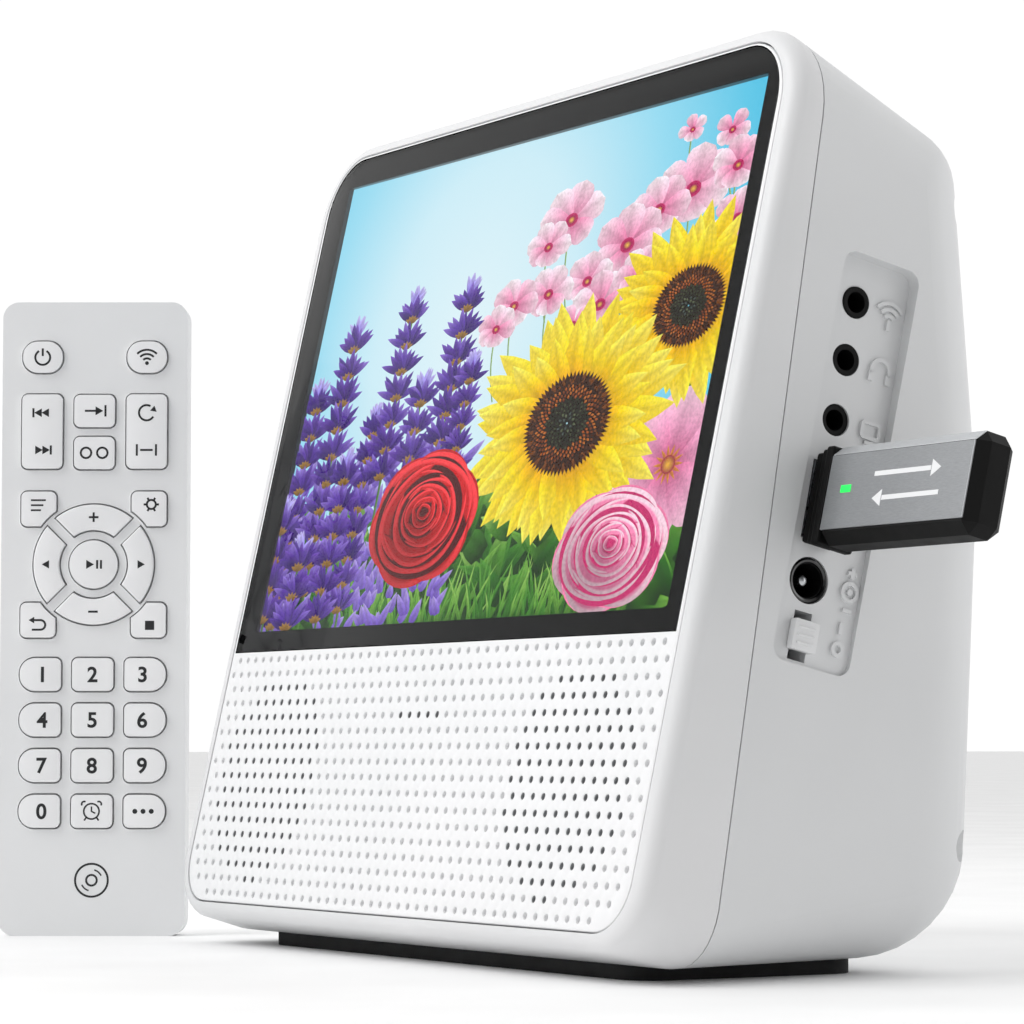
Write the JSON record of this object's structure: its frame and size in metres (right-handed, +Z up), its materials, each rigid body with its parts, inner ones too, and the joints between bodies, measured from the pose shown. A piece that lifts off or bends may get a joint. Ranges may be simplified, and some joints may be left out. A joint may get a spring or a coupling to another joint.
{
  "type": "portable dvd player",
  "caption": "Tabletop disc player with a leaning front screen over a perforated speaker grille, side ports, a rear disc door, and an upright remote control.",
  "frame": {"origin": "middle of the base pad's underside, on the table", "axes": "+X to the right seen from the front, +Y from the front to the rear, +Z up"},
  "size_m": [0.2606, 0.0999, 0.1622],
  "materials": {
    "shell_white": "satin moulded white",
    "shell_grey": "fine moulded pale grey",
    "fascia_white": "satin white",
    "screen_glass": "clear, gloss",
    "display": "dark display",
    "speaker": "matt black",
    "circuit_board": "solder mask",
    "port_black": "satin black",
    "plated_steel": "plated",
    "pad_rubber": "matt",
    "chassis": "satin grey",
    "battery_wrap": "shrink wrap",
    "stick_metal": "dark anodised",
    "remote_white": "satin",
    "key_white": "smooth"
  },
  "bodies": {
    "player": {"front_shell": "shell_white", "rear_shell": "shell_grey", "base_pad": "pad_rubber", "fascia_panel": "fascia_white", "screen_glass": "screen_glass", "lcd_panel": "display", "left_speaker": "speaker", "right_speaker": "speaker", "main_board": "circuit_board", "port_board": "circuit_board", "fm_jack": "port_black", "headphone_jack": "port_black", "av_jack": "port_black", "usb_port": "plated_steel", "dc_jack": "port_black", "ir_receiver": "port_black", "door_pins": "plated_steel", "drive_chassis": "chassis", "spindle_motor": "plated_steel", "guide_rods": "plated_steel", "sled_motor": "plated_steel", "battery_pack": "battery_wrap", "case_screws": "plated_steel"},
    "door": {"disc_door": "shell_grey"},
    "latch": {"door_button": "shell_white"},
    "power_switch": {"power_slider": "shell_white"},
    "spindle": {"turntable": "port_black"},
    "pickup": {"pickup_sled": "chassis"},
    "sled_screw": {"lead_screw": "plated_steel"},
    "stick": {"usb_stick": "stick_metal"},
    "remote": {"remote_front": "remote_white", "remote_back": "remote_white", "remote_board": "circuit_board"},
    "key_power": {"key_power": "key_white"},
    "key_wireless": {"key_wireless": "key_white"},
    "key_skip": {"key_skip": "key_white"},
    "key_goto": {"key_goto": "key_white"},
    "key_channel": {"key_channel": "key_white"},
    "key_repeat": {"key_repeat": "key_white"},
    "key_menu": {"key_menu": "key_white"},
    "key_set": {"key_set": "key_white"},
    "key_back": {"key_back": "key_white"},
    "key_stop": {"key_stop": "key_white"},
    "key_play": {"key_play": "key_white"},
    "key_right": {"key_right": "key_white"},
    "key_up": {"key_up": "key_white"},
    "key_left": {"key_left": "key_white"},
    "key_down": {"key_down": "key_white"},
    "key_1": {"key_1": "key_white"},
    "key_2": {"key_2": "key_white"},
    "key_3": {"key_3": "key_white"},
    "key_4": {"key_4": "key_white"},
    "key_5": {"key_5": "key_white"},
    "key_6": {"key_6": "key_white"},
    "key_7": {"key_7": "key_white"},
    "key_8": {"key_8": "key_white"},
    "key_9": {"key_9": "key_white"},
    "key_0": {"key_0": "key_white"},
    "key_clock": {"key_clock": "key_white"},
    "key_mode": {"key_mode": "key_white"}
  },
  "joints": [
    {"name": "door_hinge", "type": "hinge", "parent": "player", "child": "door", "pos_m": [0, 0.0304, 0.136], "axis": [1, 0, 0], "range_deg": [0, 70]},
    {"name": "latch_press", "type": "slide", "parent": "player", "child": "latch", "axis": [0, -1, 0], "range_m": [0, 0.0012], "stiffness_N_per_m": 400},
    {"name": "power_slide", "type": "slide", "parent": "player", "child": "power_switch", "axis": [0, 0.225, 0.9744], "range_m": [-0.0012, 0.0012]},
    {"name": "spindle_turn", "type": "hinge", "parent": "player", "child": "spindle", "pos_m": [0, 0.022, 0.074], "axis": [0, 1, 0], "continuous": true},
    {"name": "pickup_slide", "type": "slide", "parent": "player", "child": "pickup", "axis": [1, 0, 0], "range_m": [0, 0.032]},
    {"name": "screw_turn", "type": "hinge", "parent": "player", "child": "sled_screw", "pos_m": [0, 0.018, 0.054], "axis": [1, 0, 0], "range_deg": [0, 1441]},
    {"name": "stick_pull", "type": "slide", "parent": "player", "child": "stick", "axis": [1, 0, 0], "range_m": [0, 0.03]},
    {"name": "remote_lift", "type": "slide", "parent": "player", "child": "remote", "axis": [0, 0, 1], "range_m": [0, 0.06]},
    {"name": "key_power_press", "type": "slide", "parent": "remote", "child": "key_power", "axis": [-0.8572, 0.515, 0], "range_m": [0, 0.0006], "stiffness_N_per_m": 200},
    {"name": "key_wireless_press", "type": "slide", "parent": "remote", "child": "key_wireless", "axis": [-0.8572, 0.515, 0], "range_m": [0, 0.0006], "stiffness_N_per_m": 200},
    {"name": "key_skip_press", "type": "slide", "parent": "remote", "child": "key_skip", "axis": [-0.8572, 0.515, 0], "range_m": [0, 0.0006], "stiffness_N_per_m": 200},
    {"name": "key_goto_press", "type": "slide", "parent": "remote", "child": "key_goto", "axis": [-0.8572, 0.515, 0], "range_m": [0, 0.0006], "stiffness_N_per_m": 200},
    {"name": "key_channel_press", "type": "slide", "parent": "remote", "child": "key_channel", "axis": [-0.8572, 0.515, 0], "range_m": [0, 0.0006], "stiffness_N_per_m": 200},
    {"name": "key_repeat_press", "type": "slide", "parent": "remote", "child": "key_repeat", "axis": [-0.8572, 0.515, 0], "range_m": [0, 0.0006], "stiffness_N_per_m": 200},
    {"name": "key_menu_press", "type": "slide", "parent": "remote", "child": "key_menu", "axis": [-0.8572, 0.515, 0], "range_m": [0, 0.0006], "stiffness_N_per_m": 200},
    {"name": "key_set_press", "type": "slide", "parent": "remote", "child": "key_set", "axis": [-0.8572, 0.515, 0], "range_m": [0, 0.0006], "stiffness_N_per_m": 200},
    {"name": "key_back_press", "type": "slide", "parent": "remote", "child": "key_back", "axis": [-0.8572, 0.515, 0], "range_m": [0, 0.0006], "stiffness_N_per_m": 200},
    {"name": "key_stop_press", "type": "slide", "parent": "remote", "child": "key_stop", "axis": [-0.8572, 0.515, 0], "range_m": [0, 0.0006], "stiffness_N_per_m": 200},
    {"name": "key_play_press", "type": "slide", "parent": "remote", "child": "key_play", "axis": [-0.8572, 0.515, 0], "range_m": [0, 0.0006], "stiffness_N_per_m": 200},
    {"name": "key_right_press", "type": "slide", "parent": "remote", "child": "key_right", "axis": [-0.8572, 0.515, 0], "range_m": [0, 0.0006], "stiffness_N_per_m": 200},
    {"name": "key_up_press", "type": "slide", "parent": "remote", "child": "key_up", "axis": [-0.8572, 0.515, 0], "range_m": [0, 0.0006], "stiffness_N_per_m": 200},
    {"name": "key_left_press", "type": "slide", "parent": "remote", "child": "key_left", "axis": [-0.8572, 0.515, 0], "range_m": [0, 0.0006], "stiffness_N_per_m": 200},
    {"name": "key_down_press", "type": "slide", "parent": "remote", "child": "key_down", "axis": [-0.8572, 0.515, 0], "range_m": [0, 0.0006], "stiffness_N_per_m": 200},
    {"name": "key_1_press", "type": "slide", "parent": "remote", "child": "key_1", "axis": [-0.8572, 0.515, 0], "range_m": [0, 0.0006], "stiffness_N_per_m": 200},
    {"name": "key_2_press", "type": "slide", "parent": "remote", "child": "key_2", "axis": [-0.8572, 0.515, 0], "range_m": [0, 0.0006], "stiffness_N_per_m": 200},
    {"name": "key_3_press", "type": "slide", "parent": "remote", "child": "key_3", "axis": [-0.8572, 0.515, 0], "range_m": [0, 0.0006], "stiffness_N_per_m": 200},
    {"name": "key_4_press", "type": "slide", "parent": "remote", "child": "key_4", "axis": [-0.8572, 0.515, 0], "range_m": [0, 0.0006], "stiffness_N_per_m": 200},
    {"name": "key_5_press", "type": "slide", "parent": "remote", "child": "key_5", "axis": [-0.8572, 0.515, 0], "range_m": [0, 0.0006], "stiffness_N_per_m": 200},
    {"name": "key_6_press", "type": "slide", "parent": "remote", "child": "key_6", "axis": [-0.8572, 0.515, 0], "range_m": [0, 0.0006], "stiffness_N_per_m": 200},
    {"name": "key_7_press", "type": "slide", "parent": "remote", "child": "key_7", "axis": [-0.8572, 0.515, 0], "range_m": [0, 0.0006], "stiffness_N_per_m": 200},
    {"name": "key_8_press", "type": "slide", "parent": "remote", "child": "key_8", "axis": [-0.8572, 0.515, 0], "range_m": [0, 0.0006], "stiffness_N_per_m": 200},
    {"name": "key_9_press", "type": "slide", "parent": "remote", "child": "key_9", "axis": [-0.8572, 0.515, 0], "range_m": [0, 0.0006], "stiffness_N_per_m": 200},
    {"name": "key_0_press", "type": "slide", "parent": "remote", "child": "key_0", "axis": [-0.8572, 0.515, 0], "range_m": [0, 0.0006], "stiffness_N_per_m": 200},
    {"name": "key_clock_press", "type": "slide", "parent": "remote", "child": "key_clock", "axis": [-0.8572, 0.515, 0], "range_m": [0, 0.0006], "stiffness_N_per_m": 200},
    {"name": "key_mode_press", "type": "slide", "parent": "remote", "child": "key_mode", "axis": [-0.8572, 0.515, 0], "range_m": [0, 0.0006], "stiffness_N_per_m": 200}
  ],
  "couplings": [
    {"joint": "screw_turn", "follows": "pickup_slide", "rad_per_m": 785.4}
  ]
}
